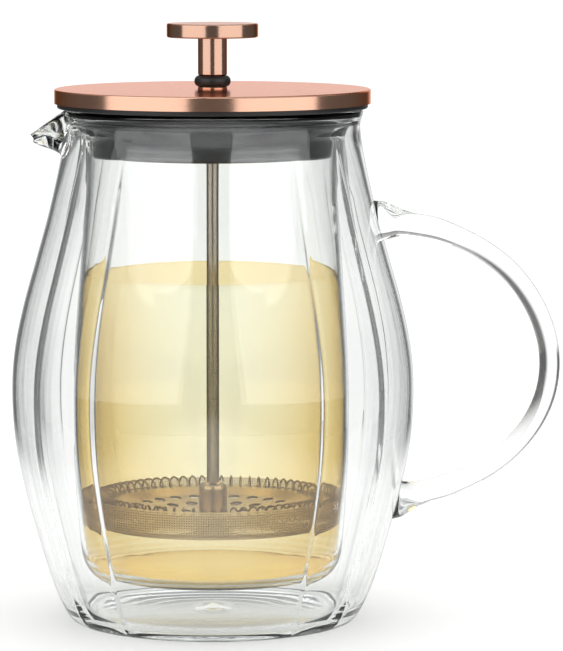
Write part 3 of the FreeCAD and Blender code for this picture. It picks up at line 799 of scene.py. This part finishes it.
def studio():
    """A bright card behind and a pale floor, with dim sides that draw the glass's dark edges; the
    floor's darkening further out is painted shade.
    """
    floor = card("floor", 6, 6)
    floor.location = FLOOR_CENTRE
    floor.data.materials.append(floor_material())
    bpy.context.scene.world = sky()
    ahead = (CARD_CENTRE[0], -1, CARD_CENTRE[2])
    panel("backdrop", CARD_CENTRE, (1.0, 0.30), ahead, card_material())
    for name, side in (("key_left", -1), ("key_right", 1)):
        softbox(name, (side * 0.72, -0.64, 0.42), (1.30, 0.9), (0, 0, 0.17), KEY_POWER)
    top = softbox("top", (0, 0.24, 0.9), (0.8, 0.8), (0, 0.12, 0.0), TOP_POWER)
    top.visible_glossy = False


def faded(shader, scale, near, far, strong, weak):
    """A value that falls smoothly with the distance from the object's own centre."""
    where = shader.add("ShaderNodeTexCoord")
    place = shader.add("ShaderNodeMapping")
    place.inputs["Scale"].default_value = scale
    away = shader.add("ShaderNodeVectorMath", operation="LENGTH")
    fade = shader.add("ShaderNodeMapRange", interpolation_type="SMOOTHSTEP")
    shader.link(where, place, "Object", "Vector")
    shader.link(place, away, 0, 0)
    shader.link(away, fade, "Value", "Value")
    values = (("From Min", near), ("From Max", far), ("To Min", strong), ("To Max", weak))
    for name, value in values:
        fade.inputs[name].default_value = value
    return fade


def card_material():
    """The glowing card behind the jug, white to the camera and see-through from behind.

    In reflections and through glass it gets dimmer towards its ends.
    """
    shader = Shader("backdrop_card")
    lamp = shader.add("ShaderNodeEmission")
    fade = faded(shader, (1, 0, 0), 0.126, 0.236, BACKDROP, FAR_OUT)
    path = shader.add("ShaderNodeLightPath")
    seen = shader.add("ShaderNodeMath", operation="MAXIMUM")
    shader.link(fade, seen, 0, 0)
    shader.link(path, seen, "Is Camera Ray", 1)
    shader.link(seen, lamp, 0, "Strength")
    face = shader.add("ShaderNodeNewGeometry")
    back = shader.add("ShaderNodeBsdfTransparent")
    mix = shader.add("ShaderNodeMixShader")
    shader.link(face, mix, "Backfacing", "Fac")
    shader.link(lamp, mix, 0, 1)
    shader.link(back, mix, 0, 2)
    shader.link(mix, shader.out, 0, "Surface")
    return shader.material


def floor_material():
    """Matt paint, pale all over to the camera.

    In reflections and through glass it gets darker further out: painted shade on the floor's pale
    colour.
    """
    shader = Shader("floor_with_painted_shade")
    # painted shade: the floor's colour falls from pale to dark further out
    fade = faded(shader, (1, 0.3, 1), 0.128, 0.238, 0.93, FAR_OUT)
    path = shader.add("ShaderNodeLightPath")
    seen = shader.add("ShaderNodeMath", operation="MAXIMUM")
    direct = shader.ranged(path, 0.0, 0.95, "Is Camera Ray")
    shader.link(fade, seen, 0, 0)
    shader.link(direct, seen, 0, 1)
    shade = shader.add("ShaderNodeCombineColor")
    for number in range(3):
        shader.link(seen, shade, 0, number)
    body = shader.add("ShaderNodeBsdfPrincipled", Roughness=0.9)
    shader.link(shade, body, 0, "Base Color")
    shader.link(body, shader.out, 0, "Surface")
    return shader.material


def camera():
    """The photograph's camera: a long lens from the front, a little above."""
    data = bpy.data.cameras.new("camera")
    data.lens = CAMERA_LENS
    data.sensor_width = 36.0
    data.clip_start = 0.05
    data.clip_end = 20.0
    thing = bpy.data.objects.new("camera", data)
    thing.location = CAMERA_PLACE
    thing.rotation_euler = (math.pi / 2 - CAMERA_PITCH, 0, 0)
    bpy.context.scene.collection.objects.link(thing)
    bpy.context.scene.camera = thing


def light_bounces():
    """Two walls and a drink take more bounces than the usual twelve."""
    cycles = bpy.context.scene.cycles
    cycles.max_bounces = 32
    cycles.transmission_bounces = 32
    cycles.transparent_max_bounces = 32
    cycles.glossy_bounces = 12
    cycles.volume_bounces = 0


jug = glass_jug()
jug.data.materials.clear()
jug.data.materials.append(glass_material())
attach(jug, "jug")
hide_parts("outer_glass_wall", "inner_glass_vessel", "pour_spout", "glass_handle", "vent_seal")
paint_all()
tea()
studio()
camera()
light_bounces()
bpy.context.scene.view_settings.view_transform = "Standard"
